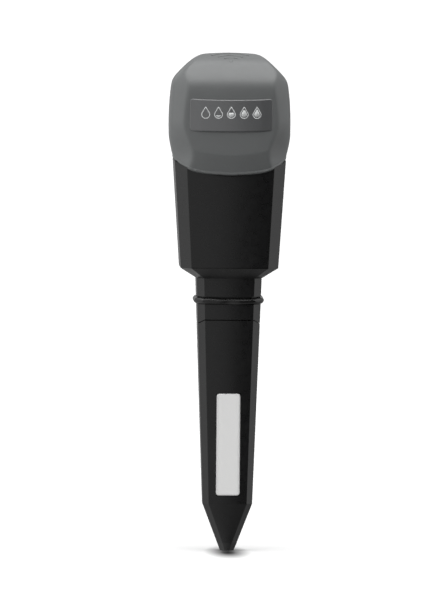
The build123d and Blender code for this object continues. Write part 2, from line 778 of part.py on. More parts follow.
with BuildPart() as board_header:
    with BuildSketch(Plane.XY.offset(header_low_z)) as header_shell:
        with Locations((0, (header_front_y + board_front_y) / 2)):
            Rectangle(10.6, board_front_y - header_front_y)
    extrude(amount=header_high_z - header_low_z)
    with BuildSketch(Plane.XY.offset(header_low_z)) as header_socket:
        with Locations((0, lead_y)):
            Rectangle(9.0, 3.6)
    extrude(amount=plug_high_z + 0.2 - header_low_z, mode=Mode.SUBTRACT)
    with BuildSketch(Plane.XY.offset(plug_high_z)) as header_pin_holes:
        with Locations((0, lead_y)):
            with GridLocations(lead_spacing, 1, 3, 1):
                Circle(0.35)
    extrude(amount=2.0, mode=Mode.SUBTRACT)
save(board_header, "board_header")

with BuildPart() as header_pins:
    with BuildSketch(Plane.XY.offset(pin_low_z)) as pin_rounds:
        with Locations((0, lead_y)):
            with GridLocations(lead_spacing, 1, 3, 1):
                Circle(0.33)
    extrude(amount=header_high_z + 1.0 - pin_low_z)
    with BuildSketch(Plane.XY.offset(header_high_z + 0.4)) as pin_tails:
        with Locations((0, (lead_y + board_front_y) / 2)):
            with GridLocations(lead_spacing, 1, 3, 1):
                Rectangle(0.6, board_front_y - lead_y)
    extrude(amount=0.6)
save(header_pins, "header_pins")

with BuildPart() as lead_plug:
    with BuildSketch(Plane.XY.offset(plug_low_z)) as plug_body:
        with Locations((0, lead_y)):
            Rectangle(8.8, 3.4)
            with GridLocations(lead_spacing, 1, 3, 1):
                Circle(lead_radius + 0.02, mode=Mode.SUBTRACT)
    extrude(amount=plug_high_z - plug_low_z)
    chamfer(lead_plug.faces().sort_by(Axis.Z)[-1].outer_wire().edges(), 0.3)
save(lead_plug, "lead_plug")


def bend_radii(route):
    """A radius for each bend of a route, taking up most of half the shorter run beside it."""
    runs = [(b - a).length for a, b in zip(route, route[1:])]
    turns = [(b - a).get_angle(c - b) for a, b, c in zip(route, route[1:], route[2:])]
    shorter = [min(pair) for pair in zip(runs, runs[1:])]
    return [0.45 * run / math.tan(math.radians(turn / 2)) for run, turn in zip(shorter, turns)]


with BuildPart() as sensor_leads:
    for x, height in lead_positions:
        start = face_plane.from_local_coords((x, height, -board_front))
        out = face_plane.from_local_coords((x, height, -(board_front + sensor_board_thickness + 3.4)))
        route = [start, out, Vector(x, out.Y, -13.0), Vector(x, lead_y, 8.0),
                 Vector(x, lead_y, pin_low_z - 0.2)]
        with BuildLine() as lead_path:
            FilletPolyline(*route, radius=bend_radii(route))
        with BuildSketch(Plane(origin=lead_path.line @ 0, z_dir=lead_path.line % 0)) as lead_section:
            Circle(lead_radius)
        sweep()
save(sensor_leads, "sensor_leads")


# ---- Cap ---------------------------------------------------------------------------------------

cap_low_z = 50.0
cap_reach = 50.0                     # half the depth of each silhouette's extrusion
corner_views = [Plane(origin=(0, 0, 0), x_dir=(1, 1, 0), z_dir=(1, -1, 0)),
                Plane(origin=(0, 0, 0), x_dir=(-1, 1, 0), z_dir=(1, 1, 0))]


def front_silhouette():
    """The cap seen from the front: a low crown, 43-degree shoulders and sides that turn in at the bottom."""
    with BuildSketch(Plane.XZ) as silhouette:
        with BuildLine():
            Line((0, cap_low_z), (24.0, cap_low_z))
            Line((24.0, cap_low_z), (28.05, 73.3))
            SagittaArc((28.05, 73.3), (cap_half_width, 86.0), -0.55)
            SagittaArc((cap_half_width, 86.0), (28.85, 108.5), -0.55)
            SagittaArc((28.85, 108.5), (26.0, 113.4), -0.45)
            Line((26.0, 113.4), (17.2, 121.5))
            SagittaArc((17.2, 121.5), (9.0, 124.75), -0.75)
            SagittaArc((9.0, 124.75), (0, cap_top_z), -0.1)
            mirror(about=Plane.YZ)
        make_face()
    return silhouette.sketch


def side_silhouette():
    """The cap seen from its side: upright front, 45-degree facet, top that slopes forwards, round back."""
    with BuildSketch(Plane.YZ) as silhouette:
        with BuildLine():
            Polyline((-20.4, 66.0), (-19.8, cap_low_z), (19.8, cap_low_z), (20.7, 66.0))
            SagittaArc((20.7, 66.0), (cap_back_y, 78.0), -0.35)
            Line((cap_back_y, 78.0), (cap_back_y, 104.0))
            SagittaArc((cap_back_y, 104.0), (19.5, 116.0), -1.5)
            SagittaArc((19.5, 116.0), (8.0, 124.9), -1.4)
            SagittaArc((8.0, 124.9), (3.0, 124.6), -0.15)
            Line((3.0, 124.6), (-11.4, 121.2))
            SagittaArc((-11.4, 121.2), (-13.4, 120.1), -0.2)
            Line((-13.4, 120.1), (-19.6, 113.9))
            SagittaArc((-19.6, 113.9), (cap_front_y, 104.8), -1.0)
            Line((cap_front_y, 104.8), (cap_front_y, 76.0))
            SagittaArc((cap_front_y, 76.0), (-20.4, 66.0), -0.3)
        make_face()
    return silhouette.sketch


corner_reach = [(30.1, 66.0), (31.6, 78.0), (31.9, 90.0), (32.5, 104.0), (31.5, 112.5), (28.5, 118.0),
                (20.0, 127.0)]


def corner_silhouette(plane):
    """The cap seen along a diagonal."""
    with BuildSketch(plane) as silhouette:
        with BuildLine():
            right = corner_reach
            left = [(-x, z) for x, z in reversed(corner_reach)]
            Polyline((29.0, cap_low_z), *right, *left, (-29.0, cap_low_z), close=True)
        make_face()
        fillet(silhouette.vertices().filter_by(lambda corner: 70 < corner.Z < 120), 6.0)
    return silhouette.sketch


def silhouette_block(silhouette, shrink=0.0):
    """A silhouette, moved inwards by shrink, extruded both ways past the cap's sides."""
    with BuildPart() as block:
        if shrink:
            silhouette = offset(silhouette.faces()[0], amount=-shrink, mode=Mode.PRIVATE)
        extrude(silhouette, amount=cap_reach, both=True)
    return block.part


with BuildPart() as cap_form:
    add(silhouette_block(front_silhouette()))
    add(silhouette_block(side_silhouette()), mode=Mode.INTERSECT)
    for plane in corner_views:
        add(silhouette_block(corner_silhouette(plane)), mode=Mode.INTERSECT)
    with BuildSketch(Plane.XZ) as beyond_edge:
        Rectangle(200, 300)
        with Locations((0, edge_centre_z)):
            Circle(edge_radius, mode=Mode.SUBTRACT)
    extrude(amount=cap_reach, both=True, mode=Mode.SUBTRACT)

with BuildPart() as cap_core:
    # The hollow has straight sides over the housing's spigot and follows the outside above it.
    add(octagon(cap_low_z, inset(spigot_outline, -fit_gap)))
    extrude(amount=90)
    add(silhouette_block(front_silhouette(), cap_wall), mode=Mode.INTERSECT)
    add(silhouette_block(side_silhouette(), cap_wall), mode=Mode.INTERSECT)
    add(octagon(cap_low_z, inset(spigot_outline, -fit_gap)))
    extrude(amount=deck_low_z - cap_low_z)

bridge_z = 103.4
bridge_thickness = 0.6
bridge_touch_z = 100.2               # the pads stop just above the cells

with BuildPart() as cap:
    add(cap_form.part)
    add(cap_core.part, mode=Mode.SUBTRACT)
    # Boss under the roof for the screw of the bridge contact.
    with BuildSketch(Plane.XY.offset(bridge_z + bridge_thickness)) as roof_boss:
        with Locations((0, battery_y)):
            Circle(3.2)
    extrude(amount=17.0)
    with BuildSketch(Plane.XY.offset(bridge_z + bridge_thickness)) as roof_boss_hole:
        with Locations((0, battery_y)):
            Circle(screw_hole_radius)
    extrude(amount=8.0, mode=Mode.SUBTRACT)
save(cap, "cap")

with BuildPart() as bridge_contact:
    # A stamped strip with a pressed pad over each cell.
    with BuildSketch(Plane.XY.offset(bridge_z)) as strip:
        with Locations((0, battery_y)):
            SlotOverall(2 * battery_x + 9.0, 9.0)
            Circle(1.4, mode=Mode.SUBTRACT)
    extrude(amount=bridge_thickness)
    for position in cell_positions:
        with BuildSketch(Plane.XY.offset(bridge_z)) as pad_root:
            with Locations(position):
                Circle(3.2)
        with BuildSketch(Plane.XY.offset(bridge_touch_z)) as pad_end:
            with Locations(position):
                Circle(1.8)
        loft([pad_root.sketch, pad_end.sketch], ruled=True)
save(bridge_contact, "bridge_contact")

with BuildPart() as bridge_screw:
    with BuildSketch(Plane.XY.offset(bridge_z)) as bridge_head:
        with Locations((0, battery_y)):
            Circle(screw_head_radius)
    extrude(amount=-screw_head_height)
    with BuildSketch(Plane.XY.offset(bridge_z - screw_head_height)) as bridge_slot:
        with Locations((0, battery_y)):
            Rectangle(cross_length, cross_width)
            Rectangle(cross_width, cross_length)
    extrude(amount=cross_depth, mode=Mode.SUBTRACT)
    with BuildSketch(Plane.XY.offset(bridge_z)) as bridge_shank:
        with Locations((0, battery_y)):
            Circle(screw_shank_radius)
    extrude(amount=bridge_thickness + 6.0)
save(bridge_screw, "bridge_screw")

label_low_z = 87.4
label_high_z = 102.9
label_half_width = 20.6
label_rise = 0.7
label_bow = 0.5                      # its upper and lower edges bow downwards like the cap's edge

with BuildPart() as label_plate:
    with BuildSketch(Plane.XZ.offset(-cap_front_y)) as label_face:
        with BuildLine():
            SagittaArc((-label_half_width, label_high_z), (label_half_width, label_high_z), -label_bow)
            Line((label_half_width, label_high_z), (label_half_width, label_low_z))
            SagittaArc((label_half_width, label_low_z), (-label_half_width, label_low_z), label_bow)
            Line((-label_half_width, label_low_z), (-label_half_width, label_high_z))
        make_face()
        fillet(label_face.vertices(), 1.5)
    extrude(amount=label_rise)
    fillet(label_plate.faces().sort_by(Axis.Y)[0].edges(), 0.3)
save(label_plate, "label_plate")
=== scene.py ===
"""Looks of the soil moisture sensor: fine meshes for its soft shapes, materials, light, camera.

Lengths are in millimetres until a mesh is made, in the part's frame: +Z up, -Y the front and +X
the viewer's right.
"""
import json
import math

import bpy
import numpy as np
from mathutils import Matrix, Vector


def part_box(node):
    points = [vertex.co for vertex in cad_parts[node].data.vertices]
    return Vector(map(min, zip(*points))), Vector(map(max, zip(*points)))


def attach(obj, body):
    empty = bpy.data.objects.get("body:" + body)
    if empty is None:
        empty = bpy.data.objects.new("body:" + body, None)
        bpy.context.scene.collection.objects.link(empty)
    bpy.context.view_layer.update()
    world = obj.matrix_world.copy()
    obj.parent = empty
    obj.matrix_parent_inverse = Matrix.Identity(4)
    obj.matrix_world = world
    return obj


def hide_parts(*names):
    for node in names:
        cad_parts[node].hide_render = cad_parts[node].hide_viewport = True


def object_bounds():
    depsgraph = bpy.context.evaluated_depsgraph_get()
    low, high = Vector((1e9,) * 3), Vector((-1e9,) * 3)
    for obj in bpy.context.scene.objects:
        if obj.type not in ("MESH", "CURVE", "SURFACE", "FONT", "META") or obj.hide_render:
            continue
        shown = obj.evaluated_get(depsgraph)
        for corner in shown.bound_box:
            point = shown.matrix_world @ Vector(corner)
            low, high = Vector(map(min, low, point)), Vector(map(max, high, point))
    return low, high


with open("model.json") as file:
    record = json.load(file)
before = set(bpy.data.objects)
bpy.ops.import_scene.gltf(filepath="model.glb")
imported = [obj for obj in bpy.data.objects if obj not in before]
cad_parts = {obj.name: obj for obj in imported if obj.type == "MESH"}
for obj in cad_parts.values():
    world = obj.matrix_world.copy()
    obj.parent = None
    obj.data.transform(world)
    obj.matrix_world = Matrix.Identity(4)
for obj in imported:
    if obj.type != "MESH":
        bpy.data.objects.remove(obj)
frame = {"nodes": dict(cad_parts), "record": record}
cad_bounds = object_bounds()
nodes = frame["nodes"]
MM = 0.001


def box_mm(node):
    """A CAD node's lowest and highest corner, in millimetres."""
    low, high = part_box(node)
    return np.array(low) / MM, np.array(high) / MM


# ---- Mesh helpers ------------------------------------------------------------------------------

def make_piece(name, points, faces, body, material):
    """A smooth mesh piece from points in millimetres, riding on a body."""
    mesh = bpy.data.meshes.new(name)
    mesh.from_pydata((np.asarray(points) * MM).tolist(), [], faces)
    mesh.validate()
    mesh.shade_smooth()
    piece = bpy.data.objects.new(name, mesh)
    bpy.context.scene.collection.objects.link(piece)
    piece.data.materials.append(material)
    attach(piece, body)
    return piece


def rows_to_faces(row_count, columns):
    """Quads between rows of points that each close on themselves."""
    faces = []
    for row in range(row_count - 1):
        base = row * columns
        for column in range(columns):
            beside = (column + 1) % columns
            faces.append((base + column, base + beside,
                          base + columns + beside, base + columns + column))
    return faces


def closed_body(rows, start_point, end_point):
    """Points and faces of a body made of closed rows, with a point at either end."""
    columns = len(rows[0])
    points = np.vstack([np.vstack(rows), [start_point], [end_point]])
    faces = rows_to_faces(len(rows), columns)
    start_index = len(rows) * columns
    last_row = (len(rows) - 1) * columns
    for column in range(columns):
        beside = (column + 1) % columns
        faces.append((start_index, beside, column))
        faces.append((last_row + column, last_row + beside, start_index + 1))
    return points, faces


def looped_body(rows):
    """Points and faces of a closed body whose last row joins its first."""
    columns = len(rows[0])
    count = len(rows) * columns
    faces = rows_to_faces(len(rows) + 1, columns)
    return np.vstack(rows), [tuple(index % count for index in face) for face in faces]


def join_bodies(bodies):
    """Several (points, faces) pairs as one."""
    points, faces, first = [], [], 0
    for body_points, body_faces in bodies:
        points.append(body_points)
        faces += [tuple(index + first for index in face) for face in body_faces]
        first += len(body_points)
    return np.vstack(points), faces


# ---- The cap's outer surface -------------------------------------------------------------------

cap_low, cap_high = box_mm("cap")
cap_top = cap_high[2] + 0.98
side_x = cap_high[0] + 0.25
front_y = cap_low[1]
back_y = cap_high[1]
CAST_REACH = 70.0                        # longer than any ray inside the cap
EDGE_RADIUS = 55.0                       # the lower edge is an arc about a line along Y
edge_centre_z = cap_low[2] + EDGE_RADIUS
EDGE_SAG = 1.4                           # near its corners the edge hangs lower than the arc
SAG_STARTS, SAG_ENDS = (4.0, 21.0), (23.5, 30.0)
SKIRT_Z = 50.0                           # the profiles start here, below the cap's edge
FRONT_CROWN = 0.5                        # the front falls away by this at FRONT_REACH
FRONT_REACH = 22.0
FRONT_TURN = 2.35                        # the band along the lower edge leans in by this in front,
REAR_TURN = 1.15                         # at the rear
SIDE_TURN = 2.3                          # and at the sides
FRONT_BAND, SIDE_BAND = 44.6, 46.5       # distance from the edge's line where the band starts
LIP_RISE, LIP_WIDTH = 0.75, 0.42         # the bead along the edge
LIP_RADIUS = EDGE_RADIUS - 0.75
LIP_FADES = (23.0, 28.5)                 # the bead sinks by LIP_LOSS between these widths
LIP_LOSS = 0.65
CORNER_CUT = 4.1                         # the corners are cut back by this at the lower height,
CORNER_CUT_Z = (72.0, 92.0)              # and not at all from the upper one
SIDE_SOFTNESS, FRONT_SOFTNESS, REAR_SOFTNESS = 1.3, 0.4, 1.3


def arc(start, end, bulge, steps=10):
    """Points after start up to end, on a shallow arc that bulges to the right of its direction."""
    start, end = np.array(start, float), np.array(end, float)
    along = end - start
    right = np.array([along[1], -along[0]]) / np.linalg.norm(along)
    shares = np.linspace(0, 1, steps + 1)[1:, None]
    return start + along * shares + right * 4 * bulge * shares * (1 - shares)


def half_planes(points):
    """Outward normals and offsets of a convex profile whose points run anticlockwise."""
    points = np.asarray(points, float)
    along = points[1:] - points[:-1]
    normals = np.stack([along[:, 1], -along[:, 0]], axis=1)
    normals /= np.linalg.norm(normals, axis=1)[:, None]
    return normals, (normals * points[:-1]).sum(1)


def front_profile():
    """Right half of the cap seen from the front, as (x, z)."""
    shoulder = (side_x - 1.25, cap_top - 16.6)
    chamfer_low = (side_x - 3.9, cap_top - 11.9)
    chamfer_high = (side_x - 9.2, cap_top - 6.3)
    crown_edge = (side_x - 16.9, cap_top - 1.2)
    points = [(side_x, SKIRT_Z), (side_x, cap_top - 39.0)]
    points += list(arc(points[-1], shoulder, 0.5))
    points += list(arc(shoulder, chamfer_low, 0.45))
    points.append(chamfer_high)
    points += list(arc(chamfer_high, crown_edge, 0.4))
    points += list(arc(crown_edge, (0, cap_top), 0.3))
    return half_planes(points)


def side_profile():
    """The cap seen from its right, as (y, z), from the rear's foot over the top to the front's."""
    points = [(back_y - 0.2, SKIRT_Z), (back_y - 0.2, cap_top - 21.2)]
    points += list(arc(points[-1], (back_y - 3.4, cap_top - 9.2), 1.5))
    points += list(arc(points[-1], (8.0, cap_top - 0.3), 1.4))
    points += list(arc(points[-1], (3.0, cap_top - 0.6), 0.1))
    points.append((front_y + 13.2, cap_top - 3.6))
    points += list(arc(points[-1], (front_y + 8.6, cap_top - 6.1), 0.35))
    points.append((front_y + 3.4, cap_top - 11.3))
    points += list(arc(points[-1], (front_y, cap_top - 20.4), 1.0))
    points.append((front_y, SKIRT_Z))
    return half_planes(points)


def corner_profile():
    """The cap seen along a diagonal, as (distance, z)."""
    points = [(33.7, SKIRT_Z), (33.7, 104.0)]
    points += list(arc(points[-1], (32.4, 114.0), 0.3))
    points += list(arc(points[-1], (28.0, 121.2), 0.5))
    points.append((16.0, 129.5))
    return half_planes(points)


def smooth_max(values, softness):
    """The largest of the values along axis 0, rounded where two are close."""
    values = np.asarray(values)
    top = values.max(0)
    return top + softness * np.log(np.exp((values - top) / softness).sum(0))


def profile_distance(profile, across, up, softness):
    """Distance outside a profile, negative inside it."""
    normals, offsets = profile
    distances = normals[:, 0, None] * across + normals[:, 1, None] * up - offsets[:, None]
    return smooth_max(distances, softness)


FRONT, SIDE, CORNER = front_profile(), side_profile(), corner_profile()


def eased_share(value, start, end):
    """0 up to start, 1 from end on, with a smooth step between."""
    share = np.clip((value - start) / (end - start), 0, 1)
    return share * share * (3 - 2 * share)


def turned_in(points, start, power):
    """Share by which the band along the edge leans in: 0 up to a crease at start, 1 at the edge."""
    return np.clip((edge_radius_at(points) - start) / (EDGE_RADIUS - start), 0, 1.2) ** power


def cap_distance(points):
    """Distance outside the cap's outer surface, in millimetres, for an array of points."""
    x, y, z = points.T
    in_front = y < 0
    width = profile_distance(FRONT, np.abs(x), z, 0.2)
    width = width + SIDE_TURN * turned_in(points, SIDE_BAND, 1.5)
    depth = profile_distance(SIDE, y, z, 0.2)
    depth = depth + np.where(in_front, FRONT_TURN, REAR_TURN) * turned_in(points, FRONT_BAND, 1.1)
    depth = depth + np.where(in_front, FRONT_CROWN * (x / FRONT_REACH) ** 2, 0)
    corner = profile_distance(CORNER, (np.abs(x) + np.abs(y)) / math.sqrt(2), z, 1.0)
    corner = corner + CORNER_CUT * (1 - eased_share(z, *CORNER_CUT_Z))
    around = smooth_max([width, corner], SIDE_SOFTNESS)
    bead = LIP_RISE * np.exp(-((edge_radius_at(points) - LIP_RADIUS) / LIP_WIDTH) ** 2)
    bead = bead * (1 - LIP_LOSS * eased_share(np.abs(x), *LIP_FADES))
    return smooth_max([around, depth], np.where(in_front, FRONT_SOFTNESS, REAR_SOFTNESS)) - bead


def edge_radius_at(points):
    """Distance from the line that the edge's arc is drawn about, with the edge's sag added."""
    x = np.abs(points[:, 0])
    sag = EDGE_SAG * eased_share(x, *SAG_STARTS) * (1 - eased_share(x, *SAG_ENDS))
    return np.hypot(x, points[:, 2] + sag - edge_centre_z)


def cast(distance, origins, directions, reach=CAST_REACH, halvings=18):
    """The points where rays leave a shape, by halving."""
    near, far = np.zeros(len(directions)), np.full(len(directions), reach)
    for _ in range(halvings):
        middle = (near + far) / 2
        outside = distance(origins + directions * middle[:, None]) > 0
        near, far = np.where(outside, near, middle), np.where(outside, middle, far)
    return origins + directions * ((near + far) / 2)[:, None]


def ray_directions(turn, climb):
    """Unit vectors from angles about Z, counted from +X, and angles above level."""
    level = np.cos(climb)
    return np.stack([level * np.cos(turn), level * np.sin(turn), np.sin(climb)], axis=1)


def lowest_climb(distance, centre, turns, radius, steepest=-1.25, halvings=16):
    """For each turn, the angle of the ray that leaves the shape at radius from the edge's line."""
    low, high = np.full(len(turns), steepest), np.zeros(len(turns))
    for _ in range(halvings):
        middle = (low + high) / 2
        beyond = edge_radius_at(cast(distance, centre, ray_directions(turns, middle))) > radius
        low, high = np.where(beyond, middle, low), np.where(beyond, high, middle)
    return (low + high) / 2


SPIGOT_WIDTH, SPIGOT_DEPTH, SPIGOT_CORNER = 25.5, 18.5, 4.6
CAP_WALL = 2.4
deck_low = box_mm("deck")[0][2]


def hollow_distance(points):
    """Distance outside the cap's hollow: straight over the spigot, like the outside above it."""
    x, y, z = np.abs(points).T
    cut = (x + y - (SPIGOT_WIDTH + SPIGOT_DEPTH - SPIGOT_CORNER)) / math.sqrt(2)
    straight = np.max([x - SPIGOT_WIDTH, y - SPIGOT_DEPTH, cut], axis=0)
    return np.maximum(straight, np.minimum(z - deck_low, cap_distance(points) + CAP_WALL))


def cap_mesh():
    """The cap's outside, rounded lip and hollow, as closed rows from the crown to the ceiling."""
    columns, outer_rows, inner_rows, lip_steps = 420, 165, 44, 6
    lip_height, lip_depth = 0.6, 0.8
    turns = np.linspace(0, 2 * math.pi, columns, endpoint=False)
    centre, inner_centre = np.array([0, 0, 92.0]), np.array([0, 0, 84.0])
    upright, spread = math.pi / 2, 1.3
    lip_start = lowest_climb(cap_distance, centre, turns, EDGE_RADIUS - lip_height)
    lip_corner = lowest_climb(cap_distance, centre, turns, EDGE_RADIUS)
    hollow_start = lowest_climb(hollow_distance, inner_centre, turns, EDGE_RADIUS)
    rows = []
    for share in np.linspace(1, 0, outer_rows + 1)[1:] ** spread:
        climb = lip_start + (upright - lip_start) * share
        rows.append(cast(cap_distance, centre, ray_directions(turns, climb)))
    corner = cast(cap_distance, centre, ray_directions(turns, lip_corner))
    inner_edge = cast(hollow_distance, inner_centre, ray_directions(turns, hollow_start))
    inward = inner_edge - corner
    lip_end = corner + inward * (lip_depth / np.linalg.norm(inward, axis=1))[:, None]
    top_of_lip = rows[-1]
    for share in np.linspace(0, 1, lip_steps + 1)[1:]:
        rows.append((1 - share) ** 2 * top_of_lip + 2 * share * (1 - share) * corner
                    + share ** 2 * lip_end)
    rows.append(inner_edge)
    for share in np.linspace(0, 1, inner_rows + 1)[1:-1]:
        climb = hollow_start + (upright - hollow_start) * share
        rows.append(cast(hollow_distance, inner_centre, ray_directions(turns, climb)))
    up = np.array([[0, 0, 1.0]])
    crown = cast(cap_distance, centre, up)[0]
    ceiling = cast(hollow_distance, inner_centre, up)[0]
    return closed_body([row[::-1] for row in rows], crown, ceiling)


def ring_rows(centre, profile, steps):
    """Closed rows of a turned shape about an upright line, from (radius, z) points."""
    turns = np.linspace(0, 2 * math.pi, steps, endpoint=False)[::-1]
    return [np.stack([centre[0] + radius * np.cos(turns), centre[1] + radius * np.sin(turns),
                      np.full(steps, z)], axis=1) for radius, z in profile]


# ---- Materials ---------------------------------------------------------------------------------

class Surface:
    """A procedural material: a Principled shader and a few nodes in the part's coordinates."""

    def __init__(self, name, colour, roughness, metallic=0.0, specular=0.5):
        self.material = bpy.data.materials.new(name)
        self.material.use_nodes = True
        self.tree = self.material.node_tree
        self.shader = self.tree.nodes["Principled BSDF"]
        self.place = self.tree.nodes.new("ShaderNodeTexCoord").outputs["Object"]
        self.shader.inputs["Base Color"].default_value = (*colour, 1)
        self.shader.inputs["Roughness"].default_value = roughness
        self.shader.inputs["Metallic"].default_value = metallic
        self.shader.inputs["Specular IOR Level"].default_value = specular
        self.colour = colour
        self.roughness = roughness
        self.relief = None

    def node(self, kind, **settings):
        made = self.tree.nodes.new(kind)
        for key, value in settings.items():
            setattr(made, key, value)
        return made

    def span(self, value, start, end, low=0.0, high=1.0, **settings):
        """A value mapped from start..end to low..high."""
        made = self.node("ShaderNodeMapRange", **settings)
        for name, number in zip(("From Min", "From Max", "To Min", "To Max"), (start, end, low, high)):
            made.inputs[name].default_value = number
        self.tree.links.new(value, made.inputs["Value"])
        return made.outputs["Result"]

    def axes(self, vector):
        """A vector's X, Y and Z."""
        split = self.node("ShaderNodeSeparateXYZ")
        self.tree.links.new(vector, split.inputs["Vector"])
        return split.outputs

    def combine(self, kind, operation, first, second=None):
        """A maths node's output, of two values or vectors, or of one."""
        made = self.node(kind, operation=operation)
        self.tree.links.new(first, made.inputs[0])
        if isinstance(second, bpy.types.NodeSocket):
            self.tree.links.new(second, made.inputs[1])
        elif second is not None:
            made.inputs[1].default_value = second
        return made.outputs["Value" if operation == "LENGTH" else 0]

    def noise(self, size_mm, detail=4.0, stretch=(1, 1, 1)):
        """Noise with features of about size_mm."""
        mapping = self.node("ShaderNodeMapping")
        mapping.inputs["Scale"].default_value = stretch
        texture = self.node("ShaderNodeTexNoise")
        texture.inputs["Scale"].default_value = 1 / (size_mm * MM)
        texture.inputs["Detail"].default_value = detail
        texture.inputs["Roughness"].default_value = 0.55
        self.tree.links.new(self.place, mapping.inputs["Vector"])
        self.tree.links.new(mapping.outputs["Vector"], texture.inputs["Vector"])
        return texture.outputs["Fac"]

    def cells(self, size_mm):
        """Rounded cells of about size_mm, as a spark-eroded mould leaves."""
        texture = self.node("ShaderNodeTexVoronoi", feature="SMOOTH_F1")
        texture.inputs["Scale"].default_value = 1 / (size_mm * MM)
        self.tree.links.new(self.place, texture.inputs["Vector"])
        return texture.outputs["Distance"]

    def ramp(self, value, stops, interpolation="LINEAR"):
        """Colours that follow a value, from (place, colour) stops."""
        ramp = self.node("ShaderNodeValToRGB")
        ramp.color_ramp.interpolation = interpolation
        while len(ramp.color_ramp.elements) < len(stops):
            ramp.color_ramp.elements.new(0.5)
        for element, (place, colour) in zip(ramp.color_ramp.elements, stops):
            element.position = place
            element.color = (*colour, 1)
        self.tree.links.new(value, ramp.inputs["Fac"])
        return ramp.outputs["Color"]

    def vary_colour(self, value, spread):
        """The base colour, darker and lighter by spread as value goes from 0.3 to 0.7."""
        dark = tuple(c * (1 - spread) for c in self.colour)
        light = tuple(min(1, c * (1 + spread)) for c in self.colour)
        self.feed("Base Color", self.ramp(value, [(0.3, dark), (0.7, light)]))

    def vary_roughness(self, value, spread):
        """The roughness, lower and higher by spread as value goes from 0.3 to 0.7."""
        low, high = max(0, self.roughness - spread), min(1, self.roughness + spread)
        self.feed("Roughness", self.span(value, 0.3, 0.7, low, high))

    def emboss(self, value, height_mm):
        """Adds relief of about height_mm, on top of any before it."""
        bump = self.node("ShaderNodeBump")
        bump.inputs["Strength"].default_value = 1.0
        bump.inputs["Distance"].default_value = height_mm * MM
        self.tree.links.new(value, bump.inputs["Height"])
        if self.relief:
            self.tree.links.new(self.relief, bump.inputs["Normal"])
        self.relief = bump.outputs["Normal"]
        self.feed("Normal", self.relief)

    def feed(self, name, value):
        """Links a value to one of the shader's inputs."""
        self.tree.links.new(value, self.shader.inputs[name])

    def set(self, **inputs):
        """Sets plain values on the shader's inputs."""
        for name, value in inputs.items():
            self.shader.inputs[name.replace("_", " ")].default_value = value


def plastic(name, colour, roughness, grain_mm, grain_height, spread):
    """Moulded plastic: spark-eroded grain, slow flow shading and a slightly uneven gloss."""
    surface = Surface(name, colour, roughness)
    surface.vary_colour(surface.noise(9.0, 3.0), spread)
    surface.vary_roughness(surface.noise(3.0, 5.0), 0.05)
    surface.emboss(surface.cells(grain_mm), grain_height)
    surface.emboss(surface.noise(grain_mm * 0.5, 3.0), grain_height * 0.6)
    return surface


def metal(name, colour, roughness):
    """Metal with fine drawn lines and dull patches."""
    surface = Surface(name, colour, roughness, metallic=1.0)
    surface.vary_colour(surface.noise(4.0, 4.0), 0.12)
    surface.vary_roughness(surface.noise(1.2, 5.0), 0.1)
    surface.emboss(surface.noise(0.5, 3.0, stretch=(1, 1, 12)), 0.004)
    return surface


# slot: colour, roughness, size and height of the grain, spread of the colour
PLASTICS = {
    "cap_plastic": ((0.09, 0.094, 0.0945), 0.46, 0.35, 0.004, 0.03),
    "housing_plastic": ((0.004, 0.004, 0.0042), 0.3, 0.3, 0.0025, 0.12),
    "ring_rubber": ((0.005, 0.005, 0.005), 0.24, 0.6, 0.006, 0.15),
    "seal_rubber": ((0.012, 0.012, 0.013), 0.6, 0.5, 0.008, 0.15),
    "inner_plastic": ((0.03, 0.031, 0.032), 0.5, 0.4, 0.012, 0.08),
    "chip_plastic": ((0.012, 0.012, 0.012), 0.55, 0.25, 0.01, 0.1),
    "header_plastic": ((0.72, 0.68, 0.58), 0.45, 0.5, 0.006, 0.05),
    "button_plastic": ((0.62, 0.2, 0.02), 0.36, 0.5, 0.005, 0.05),
    "wire_insulation": ((0.35, 0.02, 0.02), 0.35, 0.8, 0.005, 0.08),
    "print_paint": ((0.46, 0.47, 0.47), 0.4, 0.5, 0.003, 0.03),
}
# slot: colour, roughness
METALS = {
    "tinned_metal": ((0.66, 0.66, 0.64), 0.28),
    "nickel": ((0.62, 0.6, 0.56), 0.22),
    "screw_steel": ((0.5, 0.5, 0.5), 0.32),
    "aluminium_can": ((0.76, 0.77, 0.79), 0.25),
    "copper": ((0.75, 0.38, 0.2), 0.3),
}
CLEARS = {
    "film": ((0.85, 0.8, 0.6), 0.2),
    "clear_plastic": ((0.9, 0.95, 0.95), 0.12),
    "led_lens": ((0.15, 0.7, 0.2), 0.15),
}


def label_surface():
    """Smoother plastic than the cap's, with a satin coat."""
    surface = Surface("label_plastic", (0.066, 0.068, 0.07), 0.3, specular=1.0)
    surface.vary_colour(surface.noise(9.0, 3.0), 0.02)
    surface.vary_roughness(surface.noise(5.0, 2.0), 0.015)
    surface.emboss(surface.noise(0.25, 2.0), 0.0004)
    surface.set(Coat_Weight=1.0, Coat_Roughness=0.28)
    return surface


